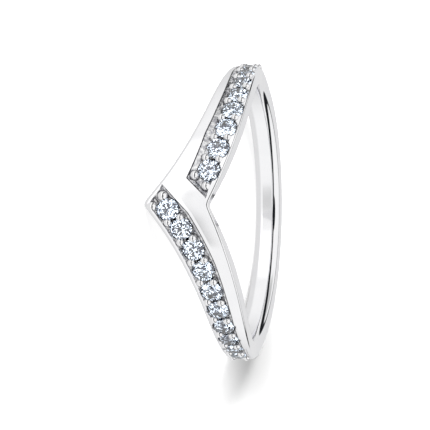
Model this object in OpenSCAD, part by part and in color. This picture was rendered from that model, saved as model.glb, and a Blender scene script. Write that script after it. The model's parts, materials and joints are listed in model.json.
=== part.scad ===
// Chevron ring: a polished wishbone band with two channels of bead-set round brilliants.
// The ring is drawn about its own axis (Z), with the chevron's point at angle 0 on +X and
// pointing down -Z. It is then laid on its side, on the point and the back of the shank.
// Along the band, angles are in degrees from the point: the upper arm is negative, the lower positive.

/* [Finger hole] */
// Radius of the finger hole
bore_r = 8.6; // [7:0.1:11]

/* [Band] */
// Wall thickness at the chevron's point
front_wall = 1.85; // [1.6:0.05:2.4]
// Wall thickness at the sides
side_wall = 1.4; // [1.3:0.05:2]
// Wall thickness at the back of the shank
back_wall = 1.35; // [1.1:0.05:2]
// Width of the shank at the back
back_width = 1.65; // [1.3:0.05:2.4]
// Width of an arm at the point, square to the arm
front_width = 3.6; // [3.2:0.05:4.2]
// Height of the dome across the outer face
dome = 0.04; // [0:0.02:0.2]
// Radius of the outer edges
edge_round = 0.22; // [0.15:0.01:0.3]
// Radius of the edges that meet the finger
comfort_round = 0.3; // [0.2:0.02:0.4]
// How far each side face leans in towards the finger at the point
flank_lean = 0.2; // [0:0.02:0.3]

/* [Chevron] */
// Depth of the point's middle below the shank's middle
point_dip = 2.25; // [1:0.05:4]
// Height of the shoulders' middle above the shank's middle
shoulder_lift = 0.55; // [0:0.05:1]
// Angle from the point to the shoulder, in degrees
shoulder_angle = 60; // [50:1:70]
// Angle from the point to where the shank runs level, in degrees
level_angle = 120; // [110:5:160]
// Angle over which an arm narrows to the shank, in degrees
narrow_angle = 95; // [90:5:120]
// Angle that rounds the chevron's corner, in degrees
corner_angle = 1.2; // [0.5:0.1:3]

/* [Polished ribbon] */
// Width of the plain ribbon on an arm, as a share of the arm
ribbon_share = 0.29; // [0.2:0.01:0.35]
// Width of the plain ribbon where it has tapered, as a share of the arm
ribbon_end_share = 0.13; // [0.08:0.01:0.25]
// Angle at which the ribbon has tapered to that share, in degrees
taper_end = 91; // [75:1:100]
// Angle on the upper arm where the ribbon leaves the outer edge, in degrees
cross_start = 8.3; // [6:0.1:12]
// Angle on the lower arm where the ribbon has crossed over, in degrees
cross_end = 3.1; // [1:0.1:6]
// Angle on the upper arm where the diagonal cut across the channel starts, in degrees
cut_start = 9.7; // [8.5:0.1:14]
// Angle on the upper arm where that cut meets the inner edge, in degrees
cut_end = 1.3; // [0.5:0.1:3]

/* [Channels] */
// Depth of the channels beside the ribbon
channel_depth = 0.26; // [0.2:0.01:0.35]
// Depth of the channels beside their rim
rim_step = 0.06; // [0.04:0.01:0.2]
// Width of the polished rim beside a channel
rim_width = 0.34; // [0.32:0.01:0.45]
// Run of the steep wall between rim and channel floor
rim_wall = 0.05; // [0.03:0.01:0.1]
// Width of the bright-cut bevel between ribbon and lower channel
lower_bevel = 0.3; // [0.2:0.01:0.4]
// Width of the bright-cut bevel between ribbon and upper channel
upper_bevel = 0.42; // [0.2:0.01:0.45]

/* [Stones] */
// Number of stones on the lower arm
lower_stones = 10; // [6:1:10]
// Number of stones on the upper arm
upper_stones = 9; // [5:1:9]
// Diameter of the largest round brilliants
stone_d = 1.45; // [1.2:0.05:1.6]
// Gap between neighbouring stones
stone_gap = 0.22; // [0.15:0.01:0.3]
// Clearance between a stone and its seat
seat_clearance = 0.03; // [0.02:0.005:0.06]
// Depth of the girdle below the polished surface
girdle_sink = 0.1; // [0.05:0.01:0.15]
// Metal left at each side of a stone, inside rim and bevel
stone_margin = 0.17; // [0.12:0.01:0.3]
// How far the rows lie off their channels' middles, towards +Z
row_shift = 0.1; // [0:0.01:0.12]
// Angle of the first stone of the lower row, in degrees
lower_start = 1.9; // [0.5:0.1:4]
// Angle of the first stone of the upper row, in degrees
upper_start = 12.8; // [12:0.1:18]

/* [Hidden] */
// Proportions of a round brilliant, as shares of its diameter
TABLE = 0.57;
CROWN = 0.15;
GIRDLE = 0.03;
PAVILION = 0.43;
STAR = 0.79;        // star points' distance out, as a share of the radius
LOWER_HALF = 0.25;  // lower halves' inner points, as a share of the radius
SEAT_TIP = 0.06;    // radius of the seat's flat bottom
SEAT_DROP = 1.5;    // clearance below a stone, over that at its sides

// Setting beads, as shares of the stone's diameter
BEAD = 0.135;        // bead radius
BEAD_SIDE = 0.35;    // distance of a pair's beads from the row's middle
BEAD_RISE = 0.06;    // height of a bead's centre above the channel floor
// Beads at a row's ends: distance along the row beyond the stone's centre, and across it
LOWER_POINT_BEADS = [[0.56, -0.51], [0.64, 0.19]];
UPPER_POINT_BEADS = [[0.44, -0.53], [0.72, 0.16]];
SHANK_BEADS = [[0.60, -0.37], [0.60, 0.37]];
END_ROOM = 0.8;      // channel beyond the last stone's centre

// The arms rise from the point by this power, and narrow by that one
RISE_POWER = 2.7;
NARROW_POWER = 1.15;
// How much the ribbon widens towards the crossing on each arm, and from which angle
LOWER_FLARE = [0.08, 22];
UPPER_FLARE = [0.19, 28];
TAPER_START = 48;    // angle where the ribbon starts to taper
PLAIN = [125, 155];  // angles over which the ribbon's edges fade into the plain shank
PLAIN_SHARE = 1 / 3; // where those edges run on the plain shank, as a share of its width
END_RAMP = 3;        // angle over which a channel's floor rises at its end
FLOOR_ROOM = 1.3;    // a channel's least width, over that of its rim and slopes together
DEPTH_HOLD = 2;      // how much longer a closing channel keeps its depth than its slopes
KNEE = 0.3;          // distance of a rounded edge's middle point from its corner, over the radius
BORE_BLEND = [1.1, 1.6]; // where the comfort edges run out into the finger hole, over their radius

// Angles of the band's sections: from, to, step
SECTIONS = [[-180, -105, 7.5], [-105, -33, 3], [-33, -13, 2], [-13, 13, 1],
            [13, 33, 2], [33, 105, 3], [105, 180, 7.5]];
THIN = 0.08;         // width of a channel's strip where the channel is absent
BORE_DIP = 0.15;     // how far the unbored band stands into the finger hole
FIRST_TILT = 10;     // first guess of how the ring lies, in degrees
TILT_TURNS = 4;      // times that guess is corrected
$fn = 96;

function ease(t) = let (u = min(1, max(0, t))) u * u * (3 - 2 * u);
function mix(a, b, t) = a + (b - a) * t;
function line_at(a, p, q) = mix(p[1], q[1], (a - p[0]) / (q[0] - p[0]));

// Angle from the point, rounded at the corner
function soft(a) = sqrt(a * a + corner_angle * corner_angle) - corner_angle;
function wall(a) = side_wall
    + (front_wall - side_wall) * pow(max(cos(a), 0), 2)
    + (back_wall - side_wall) * pow(max(-cos(a), 0), 2);
function outer_r(a) = bore_r + wall(a);
function mm_per_deg(a) = outer_r(a) * PI / 180;

// The band's middle line, the lean of its arms and its width along the axis
function mid_z(a) = shoulder_lift * (1 - ease((abs(a) - shoulder_angle) / (level_angle - shoulder_angle)))
    - (point_dip + shoulder_lift) * pow(max(0, 1 - soft(a) / shoulder_angle), RISE_POWER);
function arm_slope(a) = (point_dip + shoulder_lift) * RISE_POWER / shoulder_angle
    * pow(max(0, 1 - soft(a) / shoulder_angle), RISE_POWER - 1) / mm_per_deg(0);
function lean(a) = sqrt(1 + pow(arm_slope(a), 2));
function width(a) = lean(a) * (back_width
    + (front_width - back_width) * pow(max(0, 1 - soft(a) / narrow_angle), NARROW_POWER));
function low_z(a) = mid_z(a) - width(a) / 2;
function high_z(a) = mid_z(a) + width(a) / 2;

// How far the side faces have leaned in at the finger hole
function flank(a) = flank_lean * max(0, 1 - soft(a) / narrow_angle);

// The outer face, domed across the band
function face_r(a, z) = outer_r(a) + dome * (1 - pow((z - mid_z(a)) * 2 / width(a), 2));

// The ribbon's edges: the lower channel ends at lower_edge, the upper one starts at upper_edge
function share(a) = mix(ribbon_share, ribbon_end_share,
    ease((abs(a) - TAPER_START) / (taper_end - TAPER_START)));
function flare(a, f) = f[0] * max(0, 1 - abs(a) / f[1]);
function lower_stripe(a) = high_z(a) - width(a) * (share(a) + flare(a, LOWER_FLARE));
function upper_stripe(a) = low_z(a) + width(a) * (share(a) + flare(a, UPPER_FLARE));
function plain(a) = ease((abs(a) - PLAIN[0]) / (PLAIN[1] - PLAIN[0]));
function lower_edge(a) = mix(
    a > cross_end ? lower_stripe(a)
    : a > -cross_start ? line_at(a, [-cross_start, low_z(-cross_start)], [cross_end, lower_stripe(cross_end)])
    : low_z(a), low_z(a) + width(a) * PLAIN_SHARE, plain(a));
function upper_edge(a) = mix(
    a < -cut_start ? upper_stripe(a)
    : a < -cut_end ? line_at(a, [-cut_start, upper_stripe(-cut_start)], [-cut_end, high_z(-cut_end)])
    : high_z(a), high_z(a) - width(a) * PLAIN_SHARE, plain(a));

// A channel's cross-section from its rim to the ribbon: rim end, wall foot, floor end and
// ribbon edge, with the floor's depth at its foot and its end. It closes up where the strip is narrow.
function channel(a, strip, bevel) =
    let (w = max(THIN, strip),
         rim = rim_width - edge_round,
         need = FLOOR_ROOM * (rim + rim_wall + bevel) * lean(a),
         q = min(1, w / need) * lean(a),
         open = 1 - ease((abs(a) - (a > 0 ? lower_end : upper_end)) / END_RAMP),
         deep = min(1, DEPTH_HOLD * max(0, strip - THIN) / need) * open)
    [rim * q, (rim + rim_wall) * q, w - bevel * q, w, rim_step * deep, channel_depth * deep];

// Points of one section as [radius, z], from the low outer edge over the face and back inside
function section(a) =
    let (q = lean(a), lo = low_z(a), hi = high_z(a), e = edge_round, c = comfort_round,
         lo_top = lo + e * q, hi_top = hi - e * q,
         lc = channel(a, lower_edge(a) - lo_top, lower_bevel),
         uc = channel(a, hi_top - upper_edge(a), upper_bevel),
         le = lo_top + lc[3], ue = hi_top - uc[3], ri = bore_r,
         lo_in = lo + flank(a), hi_in = hi - flank(a))
    [[face_r(a, lo) - e, lo],
     [face_r(a, lo) - e * KNEE, lo + e * q * KNEE],
     [face_r(a, lo_top), lo_top],
     [face_r(a, lo_top + lc[0]), lo_top + lc[0]],
     [face_r(a, lo_top + lc[1]) - lc[4], lo_top + lc[1]],
     [face_r(a, lo_top + lc[2]) - lc[5], lo_top + lc[2]],
     [face_r(a, le), le],
     [face_r(a, (le + ue) / 2), (le + ue) / 2],
     [face_r(a, ue), ue],
     [face_r(a, hi_top - uc[2]) - uc[5], hi_top - uc[2]],
     [face_r(a, hi_top - uc[1]) - uc[4], hi_top - uc[1]],
     [face_r(a, hi_top - uc[0]), hi_top - uc[0]],
     [face_r(a, hi_top), hi_top],
     [face_r(a, hi) - e * KNEE, hi - e * q * KNEE],
     [face_r(a, hi) - e, hi],
     [ri + c, hi_in],
     [ri + c * KNEE, hi_in - c * KNEE],
     [ri - BORE_DIP / 2, hi_in - c * BORE_BLEND[0]],
     [ri - BORE_DIP, hi_in - c * BORE_BLEND[1]],
     [ri - BORE_DIP, lo_in + c * BORE_BLEND[1]],
     [ri - BORE_DIP / 2, lo_in + c * BORE_BLEND[0]],
     [ri + c * KNEE, lo_in + c * KNEE],
     [ri + c, lo_in]];

// The rows' middle lines and the stones on them; way is 1 on the lower arm and -1 on the upper
function row_z(a, way) = row_shift * stone_size(a, way) / stone_d * lean(a) + (way > 0
    ? (low_z(a) + lower_edge(a) + (rim_width - lower_bevel) * lean(a)) / 2
    : (upper_edge(a) + high_z(a) + (upper_bevel - rim_width) * lean(a)) / 2);
function strip_width(a, way) = (way > 0 ? lower_edge(a) - low_z(a) : high_z(a) - upper_edge(a)) / lean(a);
function stone_size(a, way) = min(stone_d, strip_width(a, way) - 2 * stone_margin);
function row_slope(a, way) = (row_z(a + 1, way) - row_z(a - 1, way)) / 2 / mm_per_deg(a);
function step_deg(a, way) = (stone_size(a, way) + stone_gap) / mm_per_deg(a)
    / sqrt(1 + pow(row_slope(a, way), 2));
function row(a, way, count) = count == 0 ? []
    : concat([[a, row_z(a, way), stone_size(a, way)]], row(a + way * step_deg(a, way), way, count - 1));
lower_row = row(lower_start, 1, lower_stones);
upper_row = row(-upper_start, -1, upper_stones);

// The channels end just past their last stones
function end_angle(s) = abs(s[0]) + END_ROOM * s[2] / mm_per_deg(s[0]);
lower_end = end_angle(lower_row[lower_stones - 1]);
upper_end = end_angle(upper_row[upper_stones - 1]);

// A bead beside the row: along it (away from the point is positive) and across it (+Z is positive)
function bead(at, way, along, across, d) =
    let (f = atan(row_slope(at[0], way)))
    [at[0] + (way * along * cos(f) - across * sin(f)) / mm_per_deg(at[0]),
     at[1] + way * along * sin(f) + across * cos(f), d];
function pair(p, q, way) =
    let (d = (p[2] + q[2]) / 2, m = [(p[0] + q[0]) / 2, (p[1] + q[1]) / 2])
    [for (s = [-1, 1]) bead(m, way, 0, s * BEAD_SIDE * d, d)];
function row_beads(r, way, point_beads) = concat(
    [for (b = point_beads) bead(r[0], way, -b[0] * r[0][2], b[1] * r[0][2], r[0][2])],
    [for (i = [0 : len(r) - 2]) each pair(r[i], r[i + 1], way)],
    [for (b = SHANK_BEADS) let (e = r[len(r) - 1]) bead(e, way, b[0] * e[2], b[1] * e[2], e[2])]);
beads = concat(row_beads(lower_row, 1, LOWER_POINT_BEADS), row_beads(upper_row, -1, UPPER_POINT_BEADS));

// The sections and their points, one section after the other
angles = [for (s = SECTIONS) for (a = [s[0] : s[2] : s[1] - s[2] / 2]) a];
band_points = [for (a = angles) for (p = section(a)) [p[0] * cos(a), p[0] * sin(a), p[1]]];
rings = len(angles);
around = len(section(0));

// How the ring lies: tilt that brings the point and the back of the shank level
function height(p, t) = p[0] * sin(t) + p[2] * cos(t);
function lowest(pts, t, low, i = 0) = i >= len(pts) ? low
    : lowest(pts, t, height(pts[i], t) < height(low, t) ? pts[i] : low, i + 1);
front_points = [for (p = band_points) if (p[0] > 0) p];
back_points = [for (p = band_points) if (p[0] <= 0) p];
function rest_tilt(t, turns) =
    let (f = lowest(front_points, t, front_points[0]), b = lowest(back_points, t, back_points[0]),
         n = atan2(b[2] - f[2], f[0] - b[0]))
    turns > 0 ? rest_tilt(n, turns - 1) : n;
tilt = rest_tilt(FIRST_TILT, TILT_TURNS);
floor_z = height(lowest(front_points, tilt, front_points[0]), tilt);
laid_x = [for (p = band_points) p[0] * cos(tilt) - p[2] * sin(tilt)];
laid_y = [for (p = band_points) p[1]];
middle = [(max(laid_x) + min(laid_x)) / 2, (max(laid_y) + min(laid_y)) / 2];
hole_centre = [-middle[0], -middle[1], -floor_z];

module lay() {
    translate(hole_centre) rotate([0, -tilt, 0]) children();
}

// Puts a piece on the outer face, with its own +Z pointing out of the band
module on_face(p, sink) {
    rotate([0, 0, p[0]]) translate([face_r(p[0], p[1]) - sink, 0, p[1]]) rotate([0, 90, 0]) children();
}

// The space of a stone in its setting: a cone under the pavilion, open above the girdle
module seat(d) {
    r = d / 2 + seat_clearance;
    deep = d * (PAVILION + GIRDLE) + seat_clearance * SEAT_DROP;
    rotate_extrude() polygon([[0, -deep], [d * SEAT_TIP, -deep], [r, -d * GIRDLE - seat_clearance],
        [r, d], [0, d]]);
}

module sweep() {
    faces = [for (i = [0 : rings - 1]) for (j = [0 : around - 1])
        let (a = i * around + j, b = i * around + (j + 1) % around,
             c = ((i + 1) % rings) * around + (j + 1) % around, d = ((i + 1) % rings) * around + j)
        each [[a, b, c], [a, c, d]]];
    polyhedron(points = band_points, faces = faces, convexity = 8);
}

module band() {
    color([0.86, 0.87, 0.88]) lay() union() {
        difference() {
            sweep();
            translate([0, 0, -point_dip - front_width])
                cylinder(r = bore_r, h = 2 * (point_dip + front_width));
            for (s = concat(lower_row, upper_row)) on_face(s, girdle_sink) seat(s[2]);
        }
        for (b = beads) on_face(b, channel_depth - BEAD_RISE) sphere(r = BEAD * b[2]);
    }
}

// A round brilliant: table, stars, kites, upper halves, girdle, lower halves and pavilion mains
module brilliant(d) {
    r = d / 2;
    crown = CROWN * d;
    girdle = GIRDLE * d;
    deep = girdle + PAVILION * d;
    star_z = crown * (1 - STAR * cos(22.5)) / (1 - TABLE);
    inner = LOWER_HALF * r;
    half_z = -deep + (deep - girdle) * LOWER_HALF * cos(22.5);
    points = concat(
        [for (i = [0 : 7]) [TABLE * r * cos(45 * i), TABLE * r * sin(45 * i), crown]],
        [for (i = [0 : 7]) [STAR * r * cos(45 * i + 22.5), STAR * r * sin(45 * i + 22.5), star_z]],
        [for (i = [0 : 15]) [r * cos(22.5 * i), r * sin(22.5 * i), 0]],
        [for (i = [0 : 15]) [r * cos(22.5 * i), r * sin(22.5 * i), -girdle]],
        [for (i = [0 : 7]) [inner * cos(45 * i + 22.5), inner * sin(45 * i + 22.5), half_z]],
        [[0, 0, -deep]]);
    top = 16;
    base = 32;
    half = 48;
    culet = 56;
    faces = concat([[for (i = [7 : -1 : 0]) i]],
        [for (i = [0 : 7]) let (n = (i + 1) % 8, g = 2 * i, h = (2 * i + 2) % 16) each [
            [i, n, 8 + i],
            [n, 8 + n, top + h, 8 + i],
            [8 + i, top + g + 1, top + g],
            [8 + i, top + h, top + g + 1],
            [half + i, base + g, base + g + 1],
            [half + i, base + g + 1, base + h],
            [culet, half + i, base + h, half + n]]],
        [for (i = [0 : 15]) let (n = (i + 1) % 16) [top + i, top + n, base + n, base + i]]);
    polyhedron(points = points, faces = faces, convexity = 2);
}

module stone(s) {
    color([0.80, 0.88, 0.96]) lay() on_face(s, girdle_sink) brilliant(s[2]);
}

band();
for (i = [1 : lower_stones])
    stone(lower_row[i - 1]);
for (i = [1 : upper_stones])
    stone(upper_row[i - 1]);
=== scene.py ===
"""Chevron ring in polished white gold, with two channels of bead-set diamonds, on a pale floor."""
import json
import math

import bpy
import numpy as np
from mathutils import Matrix, Vector


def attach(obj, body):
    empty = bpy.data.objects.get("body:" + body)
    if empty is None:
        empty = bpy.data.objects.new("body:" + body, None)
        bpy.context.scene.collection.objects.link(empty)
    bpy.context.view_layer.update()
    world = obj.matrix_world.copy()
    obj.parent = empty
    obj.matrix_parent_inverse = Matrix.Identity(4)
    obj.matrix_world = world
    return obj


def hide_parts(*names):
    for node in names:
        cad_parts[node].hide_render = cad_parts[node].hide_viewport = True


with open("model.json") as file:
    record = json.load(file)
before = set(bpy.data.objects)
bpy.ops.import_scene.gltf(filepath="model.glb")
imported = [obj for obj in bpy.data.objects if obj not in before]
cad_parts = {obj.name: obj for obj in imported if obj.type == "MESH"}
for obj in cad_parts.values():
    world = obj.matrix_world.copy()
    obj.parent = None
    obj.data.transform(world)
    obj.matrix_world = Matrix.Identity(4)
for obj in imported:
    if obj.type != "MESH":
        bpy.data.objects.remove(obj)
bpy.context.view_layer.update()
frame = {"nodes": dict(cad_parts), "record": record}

MM = 0.001

# The ring's sizes, in mm and degrees.
# They repeat the part's own source. Along the band, angles count from the V point:
# the upper arm is negative and the lower arm positive.
BORE_R = 8.6
FRONT_WALL, SIDE_WALL, BACK_WALL = 1.85, 1.4, 1.35
BACK_WIDTH, FRONT_WIDTH = 1.65, 3.6
DOME = 0.04
EDGE_ROUND, CRISP_ROUND = 0.22, 0.09       # the low outer edge is soft, the high one nearly sharp
COMFORT_ROUND, COMFORT_RUN = 0.3, 0.5      # the edges at the finger: how deep they are rounded, and how far
FLANK_LEAN = 0.2
POINT_DIP, SHOULDER_LIFT = 2.25, 0.55
SHOULDER_ANGLE, LEVEL_ANGLE, NARROW_ANGLE, CORNER_ANGLE = 60, 120, 95, 1.2
RIBBON_SHARE, RIBBON_END_SHARE, TAPER_START, TAPER_END = 0.29, 0.13, 48, 91
CROSS_START, CROSS_END, CUT_START, CUT_END = 8.3, 3.1, 9.7, 1.3
LOWER_FLARE, UPPER_FLARE = (0.08, 22), (0.19, 28)
CHANNEL_DEPTH, RIM_STEP, RIM_WIDTH, RIM_WALL = 0.26, 0.06, 0.34, 0.05
LOWER_BEVEL, UPPER_BEVEL = 0.3, 0.42
PLAIN, END_RAMP, END_ROOM = (125, 155), 3, 0.8
THIN, FLOOR_ROOM, DEPTH_HOLD = 0.08, 1.3, 2
RISE_POWER, NARROW_POWER = 2.7, 1.15
STONE_D, STONE_GAP, STONE_MARGIN, ROW_SHIFT = 1.45, 0.22, 0.17, 0.1
LOWER_START, UPPER_START, LOWER_STONES, UPPER_STONES = 1.9, 12.8, 10, 9
GIRDLE_SINK, GIRDLE, PAVILION, SEAT_TIP, SEAT_CLEARANCE = 0.1, 0.03, 0.43, 0.06, 0.03


def ease(t):
    """Smooth step: 3 t^2 - 2 t^3 between 0 and 1, level outside."""
    u = np.clip(t, 0, 1)
    return u * u * (3 - 2 * u)


def mix(a, b, t):
    """Straight blend: a at t = 0, b at t = 1."""
    return a + (b - a) * t


def soft(a):
    """Angle from the point, with the corner at the point rounded off."""
    return np.sqrt(a * a + CORNER_ANGLE ** 2) - CORNER_ANGLE


def outer_r(a):
    """Radius of the outer face: bore plus a wall that swells with the squared cosine at front and back."""
    c = np.cos(np.radians(a))
    return (BORE_R + SIDE_WALL + (FRONT_WALL - SIDE_WALL) * np.maximum(c, 0) ** 2
            + (BACK_WALL - SIDE_WALL) * np.maximum(-c, 0) ** 2)


def mm_per_deg(a):
    """Length of one degree along the outer face."""
    return outer_r(a) * math.pi / 180


def left_of(a, reach):
    """Share of the way still to go to the angle named reach: 1 at the point, 0 from reach on."""
    return np.maximum(0, 1 - soft(a) / reach)


def mid_z(a):
    """Middle line of the band: a power curve down to the point, easing from the shoulders to level."""
    back = (np.abs(a) - SHOULDER_ANGLE) / (LEVEL_ANGLE - SHOULDER_ANGLE)
    dip = (POINT_DIP + SHOULDER_LIFT) * left_of(a, SHOULDER_ANGLE) ** RISE_POWER
    return SHOULDER_LIFT * (1 - ease(back)) - dip


def lean(a):
    """Stretch along the axis of what is square to a sloping arm: root of 1 + slope squared."""
    slope = ((POINT_DIP + SHOULDER_LIFT) * RISE_POWER / SHOULDER_ANGLE
             * left_of(a, SHOULDER_ANGLE) ** (RISE_POWER - 1) / mm_per_deg(0))
    return np.sqrt(1 + slope ** 2)


def width(a):
    """Band's width along the axis: a power curve from the point to the shank, stretched by the slope."""
    return lean(a) * (BACK_WIDTH + (FRONT_WIDTH - BACK_WIDTH) * left_of(a, NARROW_ANGLE) ** NARROW_POWER)


def low_z(a):
    """Lower edge of the band, towards the floor."""
    return mid_z(a) - width(a) / 2


def high_z(a):
    """Upper edge of the band."""
    return mid_z(a) + width(a) / 2


def flank(a):
    """How far each side face leans inwards from the outer face to the finger, most at the point."""
    return FLANK_LEAN * left_of(a, NARROW_ANGLE)


def face_r(a, z):
    """Outer face, a shallow parabola across the band."""
    return outer_r(a) + DOME * (1 - ((z - mid_z(a)) * 2 / width(a)) ** 2)


def share(a):
    """Ribbon's share of the band's width, which tapers along the arm."""
    return mix(RIBBON_SHARE, RIBBON_END_SHARE, ease((np.abs(a) - TAPER_START) / (TAPER_END - TAPER_START)))


def flare(a, f):
    """What the ribbon gains near the point: f[0] there, and nothing from the angle f[1] on."""
    return f[0] * np.maximum(0, 1 - np.abs(a) / f[1])


def lower_stripe(a):
    """Ribbon's edge beside the lower channel, before it is cut straight at the point."""
    return high_z(a) - width(a) * (share(a) + flare(a, LOWER_FLARE))


def upper_stripe(a):
    """Ribbon's edge beside the upper channel, before it is cut straight at the point."""
    return low_z(a) + width(a) * (share(a) + flare(a, UPPER_FLARE))


def plain(a):
    """0 along the arms and 1 round the plain shank."""
    return ease((np.abs(a) - PLAIN[0]) / (PLAIN[1] - PLAIN[0]))


def line_at(a, a0, z0, a1, z1):
    """Height at angle a of the straight line through two points."""
    return mix(z0, z1, (a - a0) / (a1 - a0))


def lower_edge(a):
    """Ribbon's edge beside the lower channel: along the lower arm, then straight across the upper one."""
    across = line_at(a, -CROSS_START, low_z(-CROSS_START), CROSS_END, lower_stripe(CROSS_END))
    z = np.where(a > CROSS_END, lower_stripe(a), np.where(a > -CROSS_START, across, low_z(a)))
    return mix(z, low_z(a) + width(a) / 3, plain(a))


def upper_edge(a):
    """Ribbon's edge beside the upper channel, which a straight cut closes towards the point."""
    cut = line_at(a, -CUT_START, upper_stripe(-CUT_START), -CUT_END, high_z(-CUT_END))
    z = np.where(a < -CUT_START, upper_stripe(a), np.where(a < -CUT_END, cut, high_z(a)))
    return mix(z, high_z(a) - width(a) / 3, plain(a))


# Rows of stones and where they sit
def row_z(a, way):
    """Middle line of a row of stones: the middle of its bed, shifted up a little."""
    bed = (low_z(a) + lower_edge(a) + (RIM_WIDTH - LOWER_BEVEL) * lean(a) if way > 0
           else upper_edge(a) + high_z(a) + (UPPER_BEVEL - RIM_WIDTH) * lean(a))
    return ROW_SHIFT * stone_size(a, way) / STONE_D * lean(a) + bed / 2


def stone_size(a, way):
    """Largest stone that the strip holds with its margins, at most STONE_D."""
    strip = (lower_edge(a) - low_z(a) if way > 0 else high_z(a) - upper_edge(a)) / lean(a)
    return np.minimum(STONE_D, strip - 2 * STONE_MARGIN)


def row_slope(a, way):
    """Slope of a row at an angle, from the points a degree to each side."""
    return (row_z(a + 1, way) - row_z(a - 1, way)) / 2 / mm_per_deg(a)


def stone_row(start, way, count):
    """Angle, z and diameter of each stone: each step is a stone and a gap, measured along the row."""
    row, a = [], way * start
    for _ in range(count):
        d = float(stone_size(a, way))
        row.append((float(a), float(row_z(a, way)), d))
        a += way * (d + STONE_GAP) / mm_per_deg(a) / math.hypot(1, row_slope(a, way))
    return row


ROWS = {1: stone_row(LOWER_START, 1, LOWER_STONES), -1: stone_row(UPPER_START, -1, UPPER_STONES)}


def channel_end(row):
    """Angle where a channel ends, a share of the last stone's diameter past its middle."""
    a, _, d = row[-1]
    return abs(a) + END_ROOM * d / mm_per_deg(a)


CHANNEL_ENDS = {way: channel_end(row) for way, row in ROWS.items()}


def channel(a, strip, bevel):
    """A channel's rim end, wall foot, floor end and ribbon edge, with its floor's depth at the foot
    and at the floor end. It closes up where the strip is narrow, and ends just past the last stone."""
    w = np.maximum(THIN, strip)
    rim = RIM_WIDTH - EDGE_ROUND
    need = FLOOR_ROOM * (rim + RIM_WALL + bevel) * lean(a)
    q = np.minimum(1, w / need) * lean(a)
    there = 1 - ease((np.abs(a) - np.where(a > 0, CHANNEL_ENDS[1], CHANNEL_ENDS[-1])) / END_RAMP)
    deep = np.minimum(1, DEPTH_HOLD * np.maximum(0, strip - THIN) / need) * there
    return rim * q, (rim + RIM_WALL) * q, w - bevel * q, w, RIM_STEP * deep, CHANNEL_DEPTH * deep


# The ring lies on its side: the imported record's finger hole says how far it leans and where it is
HOLE = frame["record"]["mounts"][0]
TILT = math.atan2(-HOLE["axis"][0], HOLE["axis"][2])
LAID = np.array([[math.cos(TILT), 0, -math.sin(TILT)], [0, 1, 0], [math.sin(TILT), 0, math.cos(TILT)]])
HOLE_CENTRE = np.array(HOLE["pos_m"])


def lay(points):
    """Turns points in the ring's own frame, in mm, onto the floor, in metres."""
    return points @ LAID.T * MM + HOLE_CENTRE


# Meshes
def make_mesh(name, points, faces, slots=None, crease=None, painted_shade=None):
    """A mesh object from laid points and a list of faces. Edges sharper than crease, in degrees, stay sharp.
    The last argument says how dark each point is painted as shade, from 0 to 1, for the material to read."""
    mesh = bpy.data.meshes.new(name)
    mesh.from_pydata(points.tolist(), [], faces)
    mesh.polygons.foreach_set("use_smooth", np.ones(len(faces), bool))
    if slots is not None:
        mesh.polygons.foreach_set("material_index", slots.astype(np.int32))
    if crease:
        mesh.set_sharp_from_angle(angle=math.radians(crease))
    if painted_shade is not None:
        mesh.attributes.new("painted_shade", "FLOAT", "POINT").data.foreach_set("value", painted_shade.astype(np.float32))
    mesh.update()
    obj = bpy.data.objects.new(name, mesh)
    bpy.context.scene.collection.objects.link(obj)
    return obj


def loop_grid(rings, around):
    """Quads of a grid that closes both ways."""
    i, j = np.meshgrid(np.arange(rings), np.arange(around), indexing="ij")
    n, m = (i + 1) % rings, (j + 1) % around
    return np.stack([i * around + j, i * around + m, n * around + m, n * around + j], -1).reshape(-1, 4)


POLISHED, BRIGHT_CUT = 0, 1
LEVEL = 0.002                       # mm: what is sunk less than this is polished with the face
FINE_STEP, COARSE_STEP, FINE_REACH = 0.3, 2.0, 96


def band_angles():
    """Section angles: close together along the stones, wide apart round the plain shank."""
    fine = np.arange(-FINE_REACH, FINE_REACH, FINE_STEP)
    coarse = np.arange(FINE_REACH, 360 - FINE_REACH, COARSE_STEP)
    return np.concatenate([fine, np.where(coarse > 180, coarse - 360, coarse)])


SHARP_ANGLE = 28                        # degrees: the edges that stay sharp

# How many points each part of a section has. STEP_POINTS is for every narrow strip.
ROUND_POINTS, CRISP_POINTS, COMFORT_POINTS = 7, 5, 10
FLOOR_POINTS, SLOPE_POINTS, SHELF_POINTS, RIBBON_POINTS, HIGH_RIM_POINTS, STEP_POINTS = 25, 4, 3, 8, 3, 2
HOLD = np.array([0, 0.03, 0.5, 0.97])   # shares of a side face, or the finger hole's wall, where points stand
NEAR_EDGE = 0.02                        # mm: how close to the high edge the outer face's last points stand
# Each slope beside the ribbon, from the ribbon down: a graver's groove, a ridge, and a shelf over the
# floor. Runs are shares of the slope, and depths are shares of the floor's depth.
GROOVE_RUN, GROOVE_DEEP, RIDGE_DEEP = 0.18, 0.5, 0.10
LOWER_SHELF, UPPER_SHELF = (0.62, 0.30), (0.5, 0.44)
LOWER_GROOVE_SHADE, UPPER_GROOVE_SHADE, MOAT_SHADE = 1.0, 0.5, 0.5   # how dark each groove beside a ribbon, and the ring round a bead, is painted as shade
LIP_RUN, LIP_DEEP = 0.17, 0.008         # mm: the ribbon's edge rolls off a little beside the lower channel


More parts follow.
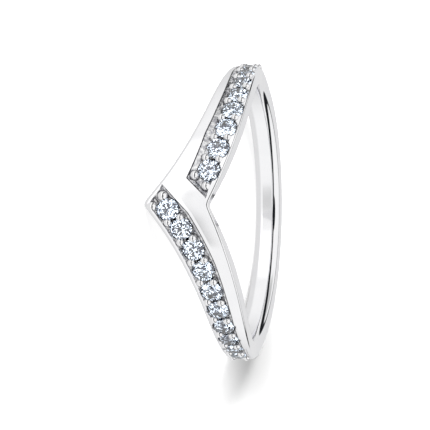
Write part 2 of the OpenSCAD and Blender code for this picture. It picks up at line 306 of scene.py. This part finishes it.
def band_section(a):
    """Section of the band at each angle: radius, z, depth below the polished face, painted shade and finish,
    and the number of points on the outer face. From the low outer edge it runs over the rim, down the wall,
    along the floor, up the slope with its shelf and groove, and over the ribbon with its rolled lip. The
    second channel follows the other way round. Then it turns at the high edge, and comes back along the
    side face, the finger hole and the other side face."""
    a = a[:, None]
    q, lo, hi = lean(a), low_z(a), high_z(a)
    lo_top, hi_top = lo + EDGE_ROUND * q, hi - EDGE_ROUND * q
    rim_l, foot_l, floor_l, edge_l, step_l, deep_l = channel(a, lower_edge(a) - lo_top, LOWER_BEVEL)
    rim_u, foot_u, floor_u, edge_u, step_u, deep_u = channel(a, hi_top - upper_edge(a), UPPER_BEVEL)
    ridge_l, ridge_u = mix(edge_l, floor_l, GROOVE_RUN), mix(edge_u, floor_u, GROOVE_RUN)
    shelf_l, shelf_u = mix(edge_l, floor_l, LOWER_SHELF[0]), mix(edge_u, floor_u, UPPER_SHELF[0])
    cut_l, cut_u = (edge_l + ridge_l) / 2, (edge_u + ridge_u) / 2
    lo_in, hi_in = lo + flank(a), hi - flank(a)
    rows = []

    def face(z0, z1, d0, d1, count, finish, s0=0, s1=0):
        # A strip of the outer face from z0 to z1, with its depths and its painted shade at both ends
        t = np.arange(count) / count
        z, deep = mix(z0, z1, t), mix(d0, d1, t) + 0 * a
        rows.append((face_r(a, z) - deep, z, deep, mix(s0, s1, t) + 0 * a, finish))

    def edge(r0, z0, r1, z1):
        # A flat face from one radius and height to another
        rows.append((mix(r0, r1, HOLD), mix(z0, z1, HOLD), 0 * a + 0 * HOLD, 0 * a + 0 * HOLD, POLISHED))

    def turn(count, r, z):
        # A quarter turn, whose radius and height are functions of its angle
        f = np.radians(np.arange(count) * 90 / count)
        rows.append((r(f), z(f), 0 * a + 0 * f, 0 * a + 0 * f, POLISHED))

    e, k, c, run = EDGE_ROUND, CRISP_ROUND, COMFORT_ROUND, COMFORT_RUN
    turn(ROUND_POINTS, lambda f: face_r(a, lo + e * q * (1 - np.cos(f))) - e * (1 - np.sin(f)),
         lambda f: lo + e * q * (1 - np.cos(f)))
    few = STEP_POINTS
    lip, lip_end = LIP_DEEP * np.minimum(1, deep_l / CHANNEL_DEPTH), lo_top + edge_l + LIP_RUN * q
    face(lo_top, lo_top + rim_l, 0, 0, few, POLISHED)
    face(lo_top + rim_l, lo_top + foot_l, 0, step_l, few, BRIGHT_CUT)
    face(lo_top + foot_l, lo_top + floor_l, step_l, deep_l, FLOOR_POINTS, BRIGHT_CUT)
    groove, ridge, shelf = GROOVE_DEEP * deep_l, RIDGE_DEEP * deep_l, LOWER_SHELF[1] * deep_l
    face(lo_top + floor_l, lo_top + shelf_l, deep_l, shelf, SLOPE_POINTS, BRIGHT_CUT)
    face(lo_top + shelf_l, lo_top + ridge_l, shelf, ridge, SHELF_POINTS, BRIGHT_CUT)
    # painted shade: the groove beside the lower ribbon is painted darker
    face(lo_top + ridge_l, lo_top + cut_l, ridge, groove, few, BRIGHT_CUT, 0, LOWER_GROOVE_SHADE)
    face(lo_top + cut_l, lo_top + edge_l, groove, lip, few, BRIGHT_CUT, LOWER_GROOVE_SHADE, 0)
    face(lo_top + edge_l, lip_end, lip, 0, few, POLISHED)
    face(lip_end, hi_top - edge_u, 0, 0, RIBBON_POINTS, POLISHED)
    groove, ridge, shelf = GROOVE_DEEP * deep_u, RIDGE_DEEP * deep_u, UPPER_SHELF[1] * deep_u
    # painted shade: the groove beside the upper ribbon is painted darker
    face(hi_top - edge_u, hi_top - cut_u, 0, groove, few, BRIGHT_CUT, 0, UPPER_GROOVE_SHADE)
    face(hi_top - cut_u, hi_top - ridge_u, groove, ridge, few, BRIGHT_CUT, UPPER_GROOVE_SHADE, 0)
    face(hi_top - ridge_u, hi_top - shelf_u, ridge, shelf, SHELF_POINTS, BRIGHT_CUT)
    face(hi_top - shelf_u, hi_top - floor_u, shelf, deep_u, SLOPE_POINTS, BRIGHT_CUT)
    face(hi_top - floor_u, hi_top - foot_u, deep_u, step_u, FLOOR_POINTS, BRIGHT_CUT)
    face(hi_top - foot_u, hi_top - rim_u, step_u, 0, few, BRIGHT_CUT)
    face(hi_top - rim_u, hi - (k + NEAR_EDGE) * q, 0, 0, HIGH_RIM_POINTS, POLISHED)
    face(hi - (k + NEAR_EDGE) * q, hi - k * q, 0, 0, 1, POLISHED)
    outer = sum(row[0].shape[1] for row in rows)
    turn(CRISP_POINTS, lambda f: face_r(a, hi - k * q * (1 - np.sin(f))) - k * (1 - np.cos(f)),
         lambda f: hi - k * q * (1 - np.sin(f)))
    edge(face_r(a, hi) - k, hi, BORE_R + c, hi_in)
    turn(COMFORT_POINTS, lambda f: BORE_R + c * (1 - np.sin(f)) + 0 * a,
         lambda f: hi_in - run * (1 - np.cos(f)))
    edge(BORE_R + 0 * a, hi_in - run, BORE_R + 0 * a, lo_in + run)
    turn(COMFORT_POINTS, lambda f: BORE_R + c * (1 - np.cos(f)) + 0 * a,
         lambda f: lo_in + run * (1 - np.sin(f)))
    edge(BORE_R + c + 0 * a, lo_in, face_r(a, lo) - e, lo)
    r, z, sunk, painted_shade = (np.concatenate([row[i] for row in rows], 1) for i in range(4))
    finish = np.concatenate([np.full(row[0].shape[1], row[4]) for row in rows])
    return r, z, sunk, painted_shade, finish, outer


SEAT_FLARE = 3.0                    # slope of the bright-cut wall round a stone, above its girdle
SEAT_FOOT = 1.5                     # clearances between the tip of the pavilion and the seat's foot
REACH_SIDE, REACH_DOWN, REACH_TURN = 0.3, 1.0, 0.3      # mm, mm, radians: no seat cuts farther from its stone
PIT_R, PIT_DEEP, PIT_SIDE = 0.17, 0.45, -0.03           # mm: pits between stones, and how far to -Z they are


def seated(a, r, z):
    """Sinks the outer face into each stone's seat: a cone under the pavilion, with a steep flare
    above the girdle. The seat's height is a function of the distance from the stone's own axis."""
    for row in ROWS.values():
        for at, mid, d in row:
            turn = np.radians(a[:, None] - at)
            side, out = r * np.sin(turn), r * np.cos(turn) - (face_r(at, mid) - GIRDLE_SINK)
            dist = np.hypot(side, z - mid)
            rim, tip = d / 2 + SEAT_CLEARANCE, d * SEAT_TIP
            deep = d * (PAVILION + GIRDLE) + SEAT_CLEARANCE * SEAT_FOOT
            up = (np.clip(dist, tip, rim) - tip) / (rim - tip)
            cone = -deep + up * (deep - d * GIRDLE - SEAT_CLEARANCE)
            sunk = cone + np.maximum(0, dist - rim) * SEAT_FLARE
            near = (dist < rim + REACH_SIDE) & (out > -REACH_DOWN) & (np.abs(turn) < REACH_TURN)
            near = near & (out > sunk)
            r = np.where(near, r - (out - sunk), r)
    return r


def pitted(a, r, z):
    """Sinks a pit with a rounded bottom between each pair of neighbouring stones."""
    for row in ROWS.values():
        for p, n in zip(row, row[1:]):
            at, mid = (p[0] + n[0]) / 2, (p[1] + n[1]) / 2 + PIT_SIDE
            dist = np.hypot(r * np.radians(a[:, None] - at), z - mid)
            r = r - PIT_DEEP * (1 - ease(dist / PIT_R))
    return r


# Beads, as shares of the stone's diameter: radius, height over the polished face, and where they stand
BEAD_R, BEAD_TOP = 0.19, 0.15
PAIR_BEADS = ((-0.04, -0.35), (0.08, 0.26))          # along the row and across it
POINT_BEADS = {1: ((0.56, -0.51), (0.64, 0.19)), -1: ((0.44, -0.53), (0.72, 0.16))}
SHANK_BEADS = ((0.60, -0.37), (0.60, 0.37))
CORNER_BEAD = {1: 1.3, -1: 1.12}                     # how much larger the beads at the point are


def bead_places():
    """Angle, z, radius and height of every bead: two at each row's ends, two between each pair."""
    places = []

    def bead(at, mid, d, way, along, across, larger=1):
        # One bead, placed along and across the row from a point on it, in shares of the stone's diameter
        f = math.atan(row_slope(at, way))
        places.append((at + (way * along * math.cos(f) - across * math.sin(f)) * d / mm_per_deg(at),
                       mid + (way * along * math.sin(f) + across * math.cos(f)) * d,
                       BEAD_R * d * larger, BEAD_TOP * d))

    for way, row in ROWS.items():
        for along, across in POINT_BEADS[way]:
            bead(*row[0], way, -along, across, CORNER_BEAD[way])
        for p, n in zip(row, row[1:]):
            for along, across in PAIR_BEADS:
                bead((p[0] + n[0]) / 2, (p[1] + n[1]) / 2, (p[2] + n[2]) / 2, way, along, across)
        for along, across in SHANK_BEADS:
            bead(*row[-1], way, along, across)
    return np.array(places)


MOAT_RUN, MOAT_DEEP = 0.065, 0.08   # mm: the ring that the beading tool presses round each bead
PAINTED_SHADE_FROM, PAINTED_SHADE_TO = 0.27, 0.5      # mm: depths where the painted shade in the hollows starts, and where it is full


def moats(a, r, z):
    """How far each point lies in the ring pressed round a bead: 1 on its circle, 0 beside it."""
    near = 0 * r
    for at, mid, radius, _ in bead_places():
        dist = np.hypot(r * np.radians(a[:, None] - at), z - mid)
        near = np.maximum(near, 1 - ease(np.abs(dist - radius) / MOAT_RUN))
    return near


def make_band():
    """Sweeps the section round the ring, and sinks the seats, pits and bead rings into its outer face.
    What lies level with that face is polished, and the rest of the channels is bright-cut."""
    a = band_angles()
    r, z, sunk, painted_shade, finish, outer = band_section(a)
    face, across = r[:, :outer], z[:, :outer]
    cut = pitted(a, seated(a, face, across), across)
    moat = moats(a, cut, across) * (finish[:outer] == BRIGHT_CUT) * (sunk[:, :outer] > LEVEL)
    cut = cut - MOAT_DEEP * moat
    sunk[:, :outer] += face - cut
    r[:, :outer] = cut
    # painted shade: the deeper a point lies in the seats and pits, the darker it is painted
    painted_shade = np.maximum(painted_shade, ease((sunk - PAINTED_SHADE_FROM) / (PAINTED_SHADE_TO - PAINTED_SHADE_FROM)))
    # painted shade: the ring pressed round each bead is painted darker
    painted_shade[:, :outer] = np.maximum(painted_shade[:, :outer], MOAT_SHADE * moat)
    turn = np.radians(a)[:, None]
    points = np.stack([r * np.cos(turn), r * np.sin(turn), z + 0 * turn], -1).reshape(-1, 3)
    quads = loop_grid(len(a), r.shape[1])
    level = sunk.ravel()[quads].max(1) < LEVEL
    slots = np.where(level, POLISHED, np.tile(finish, len(a)))
    return make_mesh("band_white_gold", lay(points), quads.tolist(), slots, SHARP_ANGLE, painted_shade.ravel())


def ball(segments=20, rings=12):
    """Unit ball, closed at both poles: latitude by longitude."""
    v = np.pi * np.arange(1, rings) / rings
    u = 2 * np.pi * np.arange(segments) / segments
    body = np.stack([np.outer(np.sin(v), np.cos(u)), np.outer(np.sin(v), np.sin(u)),
                     np.outer(np.cos(v), np.ones(segments))], -1).reshape(-1, 3)
    points = np.concatenate([body, [[0, 0, 1], [0, 0, -1]]])
    j = np.arange(segments)
    n = (j + 1) % segments
    starts = np.arange(rings - 1) * segments
    quads = [np.stack([p + j, q + j, q + n, p + n], -1) for p, q in zip(starts, starts[1:])]
    top, last = np.full(segments, len(body)), starts[-1]
    caps = [np.stack([top, j, n], -1), np.stack([top + 1, last + n, last + j], -1)]
    return points, np.concatenate(quads), np.concatenate(caps)


def make_beads():
    """One ball for each bead, sunk into the band until only its head stands over the polished face."""
    points, quads, caps = ball()
    places = bead_places()
    a = np.radians(places[:, 0])
    r = face_r(places[:, 0], places[:, 1]) + places[:, 3] - places[:, 2]
    centre = np.stack([r * np.cos(a), r * np.sin(a), places[:, 1]], -1)
    all_points = (centre[:, None] + points[None] * places[:, 2][:, None, None]).reshape(-1, 3)
    shift = (np.arange(len(places)) * len(points))[:, None, None]
    faces = (quads[None] + shift).reshape(-1, 4).tolist() + (caps[None] + shift).reshape(-1, 3).tolist()
    return make_mesh("setting_beads", lay(all_points), faces)


# Materials
def srgb(code):
    """Linear colour of an sRGB hex code."""
    c = np.array([int(code[i:i + 2], 16) for i in (1, 3, 5)]) / 255
    return tuple(np.where(c <= 0.04045, c / 12.92, ((c + 0.055) / 1.055) ** 2.4)) + (1.0,)


def add(tree, kind, inputs, **properties):
    """Adds a node. Each input, by name or number, is given a value or linked to another node's output."""
    node = tree.nodes.new(kind)
    for name, value in properties.items():
        setattr(node, name, value)
    for key, value in inputs.items():
        if isinstance(value, bpy.types.NodeSocket):
            tree.links.new(value, node.inputs[key])
        else:
            node.inputs[key].default_value = value
    return node


def new_material(name, **settings):
    """A Principled material with these settings, and its nodes, its shader and its object coordinates."""
    mat = bpy.data.materials.new(name)
    mat.use_nodes = True
    tree = mat.node_tree
    shader = next(n for n in tree.nodes if n.type == "BSDF_PRINCIPLED")
    for key, value in settings.items():
        shader.inputs[key.replace("_", " ")].default_value = value
    place = add(tree, "ShaderNodeTexCoord", {}).outputs["Object"]
    return mat, tree, shader, place


def buffed_white_gold(name, mirrored, scale, detail, gloss, tones):
    """White gold with a mirror's shine. A noise makes its roughness and tone a little uneven."""
    mat, tree, shader, place = new_material(name, Metallic=1.0)
    shader.inputs["Specular Tint"].default_value = srgb(mirrored)
    haze = add(tree, "ShaderNodeTexNoise", {"Vector": place, "Scale": scale, "Detail": detail}).outputs["Fac"]
    rough = add(tree, "ShaderNodeMapRange", {"Value": haze, "To Min": gloss[0], "To Max": gloss[1]})
    tone = add(tree, "ShaderNodeMix", {0: haze, 6: srgb(tones[0]), 7: srgb(tones[1])}, data_type="RGBA")
    tree.links.new(tone.outputs[2], shader.inputs["Base Color"])
    tree.links.new(rough.outputs["Result"], shader.inputs["Roughness"])
    return mat


def white_gold_polished():
    """White gold, rhodium plated and buffed: a bright, neutral mirror with the faint haze of the wheel."""
    return buffed_white_gold("white_gold_polished", "#F6F6F7", 900, 2, (0.04, 0.1), ("#F4F4F6", "#FBFBFC"))


def white_gold_burnished():
    """White gold pressed into a bead by a cupped tool: burnished brighter, and a little more uneven."""
    return buffed_white_gold("white_gold_burnished", "#FDFDFD", 2500, 1, (0.02, 0.12), ("#F8F8FA", "#FFFFFF"))


def white_gold_bright_cut():
    """White gold cut with a graver: the same metal, with fine tool marks that break up its shine, and
    painted darker, as shade, deep in the seats, in the grooves and round the beads."""
    mat, tree, shader, place = new_material("white_gold_bright_cut", Metallic=1.0, Roughness=0.22)
    marks = add(tree, "ShaderNodeTexNoise", {"Vector": place, "Scale": 4200, "Detail": 2}).outputs["Fac"]
    marks = add(tree, "ShaderNodeMapRange", {"Value": marks, "From Min": 0.35, "From Max": 0.65})
    marks = marks.outputs["Result"]
    bump = add(tree, "ShaderNodeBump", {"Height": marks, "Strength": 0.5, "Distance": 0.00003})
    tone = add(tree, "ShaderNodeMix", {0: marks, 6: srgb("#B2B2B8"), 7: srgb("#FFFFFF")}, data_type="RGBA")
    painted_shade = add(tree, "ShaderNodeAttribute", {}, attribute_name="painted_shade").outputs["Fac"]
    # painted shade: where the mesh's shade attribute is high, the metal is mixed towards near-black
    tone = add(tree, "ShaderNodeMix", {0: painted_shade, 6: tone.outputs[2], 7: srgb("#1C1D22")}, data_type="RGBA")
    tree.links.new(tone.outputs[2], shader.inputs["Base Color"])
    tree.links.new(bump.outputs["Normal"], shader.inputs["Normal"])
    return mat


def diamond():
    """Diamond, cut and polished: clear, a breath of blue, with the real index so that its facets mirror."""
    mat, tree, shader, place = new_material("diamond_polished", IOR=2.417, Roughness=0.0)
    shader.inputs["Transmission Weight"].default_value = 1.0
    zone = add(tree, "ShaderNodeTexNoise", {"Vector": place, "Scale": 700, "Detail": 1}).outputs["Fac"]
    tint = add(tree, "ShaderNodeMix", {0: zone, 6: srgb("#CFE4FC"), 7: srgb("#F4F8FE")}, data_type="RGBA")
    tree.links.new(tint.outputs[2], shader.inputs["Base Color"])
    return mat


# The studio
CAMERA_LEAN, CAMERA_SIDE, CAMERA_ROLL = 12.0, 2.7, 0.75   # degrees, about the ring's own axes
CAMERA_AWAY, SENSOR = 300.0, 36                           # mm
CLIP_FROM, CLIP_TO = 0.01, 10                             # metres
PIXELS_PER_MM, FRAME = 14.6, 430
HOLE_PIXEL = (241.6, 212.5)                               # where the hole's centre falls in the frame


def make_camera():
    """Stands the camera at the photograph's angle to the ring, turns it a little to frame it alike, and
    returns the way towards it. That angle is above the floor here, as the photograph gives no horizon."""
    t, p, r = (math.radians(v) for v in (CAMERA_LEAN, CAMERA_SIDE, CAMERA_ROLL))
    back = np.array([math.cos(t) * math.cos(p), math.cos(t) * math.sin(p), math.sin(t)])
    right = np.array([0, 0, 1.0]) - back * back[2]
    right /= np.linalg.norm(right)
    up = np.cross(back, right)
    right, up = math.cos(r) * right + math.sin(r) * up, -math.sin(r) * right + math.cos(r) * up
    eye = back * CAMERA_AWAY
    aim = (right * (FRAME / 2 - HOLE_PIXEL[0]) + up * (HOLE_PIXEL[1] - FRAME / 2)) / PIXELS_PER_MM
    back = (eye - aim) / np.linalg.norm(eye - aim)
    right = np.cross(up, back)
    right /= np.linalg.norm(right)
    up = np.cross(back, right)
    turn = LAID @ np.stack([right, up, back], -1)
    data = bpy.data.cameras.new("camera")
    data.sensor_width = SENSOR
    data.lens = SENSOR * PIXELS_PER_MM * CAMERA_AWAY / FRAME
    data.clip_start, data.clip_end = CLIP_FROM, CLIP_TO
    camera = bpy.data.objects.new("camera", data)
    place = np.eye(4)
    place[:3, :3], place[:3, 3] = turn, lay(eye)
    camera.matrix_world = Matrix(place.tolist())
    bpy.context.scene.collection.objects.link(camera)
    bpy.context.scene.camera = camera
    return LAID @ back


FLOOR_HALF = 0.6                                          # metres
PAINT, GLOW, SHADE_GLOW = 0.5, 0.70, 0.08          # the card's grey, its glow, and its glow in the shade
SHADE_SPOT, SHADE_IN, SHADE_OUT = (-0.0100, 0.0092, 0.0), 0.001, 0.0085    # metres: its middle and radii


def make_floor():
    """A white card that glows as if lit from below, and stays white round the ring. Round one spot its glow
    is lowered, as painted shade, so that the lamp's soft shadow shows there. It is kept out of reflections,
    so the metal mirrors the tent above and below, as if the ring hung in it."""
    mesh = bpy.data.meshes.new("floor")
    h = FLOOR_HALF
    mesh.from_pydata([(-h, -h, 0), (h, -h, 0), (h, h, 0), (-h, h, 0)], [], [(0, 1, 2, 3)])
    floor = bpy.data.objects.new("floor", mesh)
    floor.visible_glossy = floor.visible_transmission = False
    bpy.context.scene.collection.objects.link(floor)
    mat, tree, shader, place = new_material("floor_backlit_card", Roughness=0.9)
    shader.inputs["Base Color"].default_value = (PAINT, PAINT, PAINT, 1)
    shader.inputs["Specular IOR Level"].default_value = 0.0
    # painted shade: round SHADE_SPOT the glow falls to SHADE_GLOW, so the lamp's real shadow shows grey there
    spot = add(tree, "ShaderNodeVectorMath", {0: place, 1: SHADE_SPOT}, operation="DISTANCE")
    limits = {"From Min": SHADE_IN, "From Max": SHADE_OUT, "To Min": SHADE_GLOW, "To Max": GLOW}
    glow = add(tree, "ShaderNodeMapRange", {"Value": spot.outputs["Value"], **limits},
               interpolation_type="SMOOTHSTEP")
    tree.links.new(glow.outputs["Result"], shader.inputs["Emission Strength"])
    shader.inputs["Emission Color"].default_value = (1, 1, 1, 1)
    mesh.materials.append(mat)


DUSK = (0.013, 0.014, 0.017, 1)                      # the dark of the seam and the lens
NIGHT = (0.004, 0.016, 0.055, 1)                     # the bluer dark of the flags that the stones see
BELOW, BEHIND, SIDES = 0.78, 0.83, 0.97              # the tent's brightness below, behind and beside the ring
WALL_FROM, WALL_TO = (-1.0, -0.42), (-0.2, -0.2)     # depth and height from which, and to which, it changes
# A key light, a grey card and a grey flag: the way towards each, how close to it each fades in, and its
# strength. Closeness is a cosine, and heights and depths are on the unit sphere.
KEY_SIDE, KEY_CLOSE, KEY_GAIN = (0.89, -0.45, 0.0), (0.80, 0.93), 0.27
KEY_FOOT, KEY_HEAD = (-0.30, -0.20), (0.035, -0.01)  # heights over which the key light fades in, and out
CARD_SIDE, CARD_CLOSE, CARD_LOSS = (0.99, 0.12, 0.0), (0.90, 0.955), 0.32
CARD_FOOT, CARD_HEAD = (-0.050, -0.030), (0.034, -0.020)   # and those over which the grey card does
FLAG_SIDE, FLAG_CLOSE, FLAG_LOSS = (-0.15, -0.88, 0.45), (0.85, 0.97), 0.4
SEAM_LOW, SEAM_HIGH = (0.10, 0.13), (0.44, 0.38)     # heights over which the dark seam fades in, and out
LENS = (17.0, 15.0)                                  # degrees round the camera where the dark lens fades in
# What the stones alone see: the dark flags' scale, pattern and limits in the noise, and the light between
FLECK_SCALE, FLECK_SEED, FLECKS, GATHER = 2.0, 5.0, (0.47, 0.49), 1.8


def make_world(toward_camera):
    """A white light tent for the metal to mirror, worked out over the whole sphere: light grey below and
    behind, white beside, and brightest in front on the upper arm's side, just under the horizon. A grey
    card stands in front, and a grey flag on the upper arm's side. A thin dark seam runs above the
    horizon, and the lens is dark. Light that came through a stone also meets dark flags and more light
    between them, which the metal doesn't mirror. They give the stones their sparkle."""
    world = bpy.data.worlds.new("light_tent")
    bpy.context.scene.world = world
    world.use_nodes = True
    tree = world.node_tree
    sky = next(n for n in tree.nodes if n.type == "BACKGROUND")
    place = add(tree, "ShaderNodeTexCoord", {}).outputs["Generated"]
    axes = add(tree, "ShaderNodeSeparateXYZ", {0: place})
    depth, height = axes.outputs["X"], axes.outputs["Z"]
    through = add(tree, "ShaderNodeLightPath", {}).outputs["Is Transmission Ray"]
    pattern = {"Vector": place, "W": FLECK_SEED, "Scale": FLECK_SCALE, "Detail": 1}
    flags = add(tree, "ShaderNodeTexNoise", pattern, noise_dimensions="4D").outputs["Fac"]
    near = {}
    for name, way in (("key", KEY_SIDE), ("card", CARD_SIDE), ("flag", FLAG_SIDE), ("lens", toward_camera)):
        node = add(tree, "ShaderNodeVectorMath", {0: place, 1: way}, operation="DOT_PRODUCT")
        near[name] = node.outputs["Value"]
    lens = [math.cos(math.radians(d)) for d in LENS]
    fade = {}
    for name, value, (start, end), (low, high) in (
            ("wall", depth, (WALL_FROM[0], WALL_TO[0]), (BEHIND, SIDES)),
            ("raise", height, (WALL_FROM[1], WALL_TO[1]), (0, 1)),
            ("key", near["key"], KEY_CLOSE, (0, KEY_GAIN)),
            ("foot", height, KEY_FOOT, (0, 1)),
            ("head", height, KEY_HEAD, (0, 1)),
            ("card", near["card"], CARD_CLOSE, (0, CARD_LOSS)),
            ("card_foot", height, CARD_FOOT, (0, 1)),
            ("card_head", height, CARD_HEAD, (0, 1)),
            ("flag", near["flag"], FLAG_CLOSE, (0, FLAG_LOSS)),
            ("seam_low", height, SEAM_LOW, (0, 1)),
            ("seam_high", height, SEAM_HIGH, (0, 1)),
            ("lens", near["lens"], lens, (0, 1)),
            ("flecks", flags, FLECKS, (0, 1))):
        limits = {"From Min": start, "From Max": end, "To Min": low, "To Max": high}
        node = add(tree, "ShaderNodeMapRange", {"Value": value, **limits}, interpolation_type="SMOOTHSTEP")
        fade[name] = node.outputs["Result"]
    tent = add(tree, "ShaderNodeMix", {0: fade["raise"], 2: BELOW, 3: fade["wall"]}, data_type="FLOAT")
    sums = {"tent": tent.outputs[0]}
    for name, kind, first, second in (
            ("key", "MULTIPLY", fade["key"], fade["foot"]),
            ("key", "MULTIPLY", "key", fade["head"]),
            ("tent", "ADD", "tent", "key"),
            ("card", "MULTIPLY", fade["card"], fade["card_foot"]),
            ("card", "MULTIPLY", "card", fade["card_head"]),
            ("tent", "SUBTRACT", "tent", "card"),
            ("tent", "SUBTRACT", "tent", fade["flag"]),
            ("gather", "MULTIPLY", through, GATHER),
            ("tent", "ADD", "tent", "gather"),
            ("seam", "MULTIPLY", fade["seam_low"], fade["seam_high"]),
            ("dark", "MAXIMUM", "seam", fade["lens"]),
            ("flecks", "MULTIPLY", through, fade["flecks"])):
        first, second = (sums[v] if isinstance(v, str) else v for v in (first, second))
        sums[name] = add(tree, "ShaderNodeMath", {0: first, 1: second}, operation=kind).outputs[0]
    grey = add(tree, "ShaderNodeCombineColor", {i: sums["tent"] for i in range(3)}).outputs[0]
    shade = add(tree, "ShaderNodeMix", {0: sums["dark"], 6: grey, 7: DUSK}, data_type="RGBA")
    shade = add(tree, "ShaderNodeMix", {0: sums["flecks"], 6: shade.outputs[2], 7: NIGHT}, data_type="RGBA")
    tree.links.new(shade.outputs[2], sky.inputs["Color"])


# The way towards the lamp, its distance and radius in metres, its watts, and its beam in degrees
LAMP_FROM, LAMP_AWAY, LAMP_SIZE = (0.60, -0.56, 0.48), 0.25, 0.08
LAMP_WATTS, LAMP_BEAM = 33.0, 18.0


def make_lamp():
    """A small soft lamp that draws the ring's one shadow. It shows in no reflection."""
    data = bpy.data.lights.new("lamp", "SPOT")
    data.energy, data.shadow_soft_size = LAMP_WATTS, LAMP_SIZE
    data.spot_size, data.spot_blend = math.radians(LAMP_BEAM), 1.0
    lamp = bpy.data.objects.new("lamp", data)
    away = Vector(LAMP_FROM).normalized()
    lamp.location = Vector(SHADE_SPOT) + away * LAMP_AWAY
    lamp.rotation_mode = "QUATERNION"
    lamp.rotation_quaternion = away.to_track_quat("Z", "Y")
    lamp.visible_glossy = False
    bpy.context.scene.collection.objects.link(lamp)


toward_camera = make_camera()
make_floor()
make_world(toward_camera)
make_lamp()
bpy.context.scene.view_settings.view_transform = "Standard"

band = make_band()
polished, bright_cut, clear = white_gold_polished(), white_gold_bright_cut(), diamond()
band.data.materials.append(polished)
band.data.materials.append(bright_cut)
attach(band, "root")
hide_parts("band")

beads = make_beads()
beads.data.materials.append(white_gold_burnished())
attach(beads, "root")

for name, node in frame["nodes"].items():
    if name.startswith("stone_"):
        node.data.materials.clear()
        node.data.materials.append(clear)
